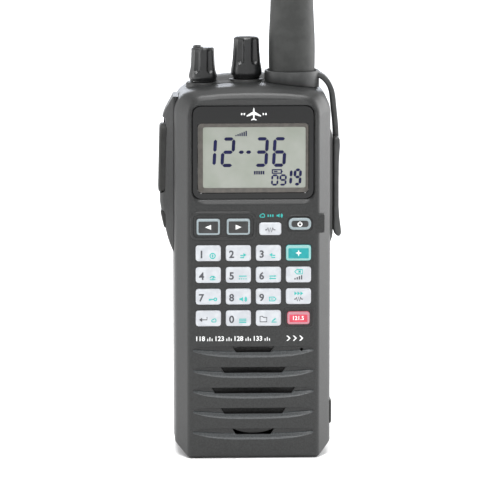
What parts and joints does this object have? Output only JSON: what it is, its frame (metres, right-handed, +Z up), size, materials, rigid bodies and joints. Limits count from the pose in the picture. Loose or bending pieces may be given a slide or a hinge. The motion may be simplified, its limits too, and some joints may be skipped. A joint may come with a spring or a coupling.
{
  "type": "handheld aviation radio",
  "caption": "Handheld airband transceiver with display, keypad, speaker grille, top knobs, whip antenna, sliding battery pack and belt clip.",
  "frame": {"origin": "centre of the flat underside of the body, on the floor", "axes": "+Z up along the antenna, +X right seen from the front, +Y from the front face towards the belt clip"},
  "size_m": [0.0637, 0.0433, 0.3101],
  "materials": {
    "case_plastic": "fine grained moulded polycarbonate",
    "window_plastic": "polished dark acrylic",
    "lcd_glass": "grey green reflective liquid crystal",
    "key_white": "satin translucent silicone",
    "key_teal": "satin silicone",
    "key_red": "satin silicone",
    "key_dark": "satin silicone with printed border",
    "rubber": "matte moulded rubber",
    "knob_plastic": "satin moulded plastic",
    "antenna_rubber": "satin rubber sleeve",
    "steel": "zinc plated",
    "nickel": "bright nickel plate",
    "gold": "gold flash plate",
    "board": "solder mask",
    "speaker_metal": "pressed",
    "cone_paper": "coated film",
    "cell_sleeve": "shrink sleeve over metal cans",
    "membrane": "silicone"
  },
  "bodies": {
    "radio_body": {"front_case": "case_plastic", "display_window": "window_plastic", "lcd_module": "lcd_glass", "keypad_membrane": "membrane", "speaker_frame": "speaker_metal", "speaker_cone": "cone_paper", "microphone": "speaker_metal", "logic_board": "board", "radio_board": "board", "main_seal": "rubber", "chassis": "case_plastic", "machine_screws": "steel", "bnc_socket": "nickel", "volume_pot": "speaker_metal", "dial_encoder": "speaker_metal", "jack_block": "cone_paper", "dc_jack": "cone_paper", "side_switches": "board", "battery_contacts": "gold", "jack_cover_strap": "rubber", "clip_base": "case_plastic", "clip_pin": "steel", "clip_spring": "steel"},
    "volume": {"volume_knob": "knob_plastic", "volume_shaft": "steel"},
    "dial": {"dial_knob": "knob_plastic", "dial_shaft": "steel"},
    "antenna": {"antenna_sleeve": "antenna_rubber", "antenna_coupling": "nickel", "antenna_coil": "gold"},
    "socket_flap": {"jack_cover_flap": "rubber"},
    "charge_cover": {"dc_jack_cover": "rubber"},
    "ptt": {"ptt_button": "rubber"},
    "side_button": {"side_key": "rubber"},
    "battery": {"battery_case": "case_plastic", "battery_lid": "case_plastic", "battery_cells": "cell_sleeve", "battery_terminals": "gold"},
    "latch": {"battery_latch": "case_plastic"},
    "clip": {"clip_arm": "case_plastic"},
    "body_key_1": {"key_1": "key_white"},
    "body_key_2": {"key_2": "key_white"},
    "body_key_3": {"key_3": "key_white"},
    "body_key_function": {"key_function": "key_teal"},
    "body_key_4": {"key_4": "key_white"},
    "body_key_5": {"key_5": "key_white"},
    "body_key_6": {"key_6": "key_white"},
    "body_key_clear": {"key_clear": "key_white"},
    "body_key_7": {"key_7": "key_white"},
    "body_key_8": {"key_8": "key_white"},
    "body_key_9": {"key_9": "key_white"},
    "body_key_scan": {"key_scan": "key_white"},
    "body_key_enter": {"key_enter": "key_white"},
    "body_key_0": {"key_0": "key_white"},
    "body_key_memory": {"key_memory": "key_white"},
    "body_key_guard": {"key_guard": "key_red"},
    "body_key_left": {"key_left": "key_dark"},
    "body_key_right": {"key_right": "key_dark"},
    "body_key_squelch": {"key_squelch": "key_white"},
    "body_key_power": {"key_power": "key_dark"}
  },
  "joints": [
    {"name": "key_1_press", "type": "slide", "parent": "radio_body", "child": "body_key_1", "axis": [0, 1, 0], "range_m": [0, 0.0006], "stiffness_N_per_m": 2500},
    {"name": "key_2_press", "type": "slide", "parent": "radio_body", "child": "body_key_2", "axis": [0, 1, 0], "range_m": [0, 0.0006], "stiffness_N_per_m": 2500},
    {"name": "key_3_press", "type": "slide", "parent": "radio_body", "child": "body_key_3", "axis": [0, 1, 0], "range_m": [0, 0.0006], "stiffness_N_per_m": 2500},
    {"name": "key_function_press", "type": "slide", "parent": "radio_body", "child": "body_key_function", "axis": [0, 1, 0], "range_m": [0, 0.0006], "stiffness_N_per_m": 2500},
    {"name": "key_4_press", "type": "slide", "parent": "radio_body", "child": "body_key_4", "axis": [0, 1, 0], "range_m": [0, 0.0006], "stiffness_N_per_m": 2500},
    {"name": "key_5_press", "type": "slide", "parent": "radio_body", "child": "body_key_5", "axis": [0, 1, 0], "range_m": [0, 0.0006], "stiffness_N_per_m": 2500},
    {"name": "key_6_press", "type": "slide", "parent": "radio_body", "child": "body_key_6", "axis": [0, 1, 0], "range_m": [0, 0.0006], "stiffness_N_per_m": 2500},
    {"name": "key_clear_press", "type": "slide", "parent": "radio_body", "child": "body_key_clear", "axis": [0, 1, 0], "range_m": [0, 0.0006], "stiffness_N_per_m": 2500},
    {"name": "key_7_press", "type": "slide", "parent": "radio_body", "child": "body_key_7", "axis": [0, 1, 0], "range_m": [0, 0.0006], "stiffness_N_per_m": 2500},
    {"name": "key_8_press", "type": "slide", "parent": "radio_body", "child": "body_key_8", "axis": [0, 1, 0], "range_m": [0, 0.0006], "stiffness_N_per_m": 2500},
    {"name": "key_9_press", "type": "slide", "parent": "radio_body", "child": "body_key_9", "axis": [0, 1, 0], "range_m": [0, 0.0006], "stiffness_N_per_m": 2500},
    {"name": "key_scan_press", "type": "slide", "parent": "radio_body", "child": "body_key_scan", "axis": [0, 1, 0], "range_m": [0, 0.0006], "stiffness_N_per_m": 2500},
    {"name": "key_enter_press", "type": "slide", "parent": "radio_body", "child": "body_key_enter", "axis": [0, 1, 0], "range_m": [0, 0.0006], "stiffness_N_per_m": 2500},
    {"name": "key_0_press", "type": "slide", "parent": "radio_body", "child": "body_key_0", "axis": [0, 1, 0], "range_m": [0, 0.0006], "stiffness_N_per_m": 2500},
    {"name": "key_memory_press", "type": "slide", "parent": "radio_body", "child": "body_key_memory", "axis": [0, 1, 0], "range_m": [0, 0.0006], "stiffness_N_per_m": 2500},
    {"name": "key_guard_press", "type": "slide", "parent": "radio_body", "child": "body_key_guard", "axis": [0, 1, 0], "range_m": [0, 0.0006], "stiffness_N_per_m": 2500},
    {"name": "key_left_press", "type": "slide", "parent": "radio_body", "child": "body_key_left", "axis": [0, 1, 0], "range_m": [0, 0.0006], "stiffness_N_per_m": 2500},
    {"name": "key_right_press", "type": "slide", "parent": "radio_body", "child": "body_key_right", "axis": [0, 1, 0], "range_m": [0, 0.0006], "stiffness_N_per_m": 2500},
    {"name": "key_squelch_press", "type": "slide", "parent": "radio_body", "child": "body_key_squelch", "axis": [0, 1, 0], "range_m": [0, 0.0006], "stiffness_N_per_m": 2500},
    {"name": "key_power_press", "type": "slide", "parent": "radio_body", "child": "body_key_power", "axis": [0, 1, 0], "range_m": [0, 0.0006], "stiffness_N_per_m": 2500},
    {"name": "ptt_press", "type": "slide", "parent": "radio_body", "child": "ptt", "axis": [1, 0, 0], "range_m": [0, 0.0008], "stiffness_N_per_m": 3000},
    {"name": "side_key_press", "type": "slide", "parent": "radio_body", "child": "side_button", "axis": [1, 0, 0], "range_m": [0, 0.0005], "stiffness_N_per_m": 3000},
    {"name": "volume_turn", "type": "hinge", "parent": "radio_body", "child": "volume", "pos_m": [-0.0167, 0.004, 0.1294], "axis": [0, 0, -1], "range_deg": [-60, 210]},
    {"name": "dial_turn", "type": "hinge", "parent": "radio_body", "child": "dial", "pos_m": [-0.0016, 0.004, 0.1304], "axis": [0, 0, -1], "continuous": true},
    {"name": "antenna_bayonet", "type": "hinge", "parent": "radio_body", "child": "antenna", "pos_m": [0.0141, 0.003, 0.1301], "axis": [0, 0, 1], "range_deg": [0, 90]},
    {"name": "socket_flap_swing", "type": "hinge", "parent": "radio_body", "child": "socket_flap", "pos_m": [0.0301, 0.003, 0.1106], "axis": [0, -1, 0], "range_deg": [0, 110], "stiffness_Nm_per_rad": 0.004, "springref_deg": -20.05},
    {"name": "charge_cover_swing", "type": "hinge", "parent": "radio_body", "child": "charge_cover", "pos_m": [0.0275, -0.00355, 0.01475], "axis": [0, 0, 1], "range_deg": [0, 100], "stiffness_Nm_per_rad": 0.002, "springref_deg": -20.05},
    {"name": "battery_slide", "type": "slide", "parent": "radio_body", "child": "battery", "axis": [0, 0, -1], "range_m": [0, 0.1]},
    {"name": "latch_slide", "type": "slide", "parent": "battery", "child": "latch", "axis": [0, 0, 1], "range_m": [0, 0.0025], "stiffness_N_per_m": 800},
    {"name": "clip_swing", "type": "hinge", "parent": "radio_body", "child": "clip", "pos_m": [0, 0.0202, 0.119], "axis": [1, 0, 0], "range_deg": [0, 16], "stiffness_Nm_per_rad": 1.5, "springref_deg": -8.59, "deforming": ["clip_spring"]}
  ]
}
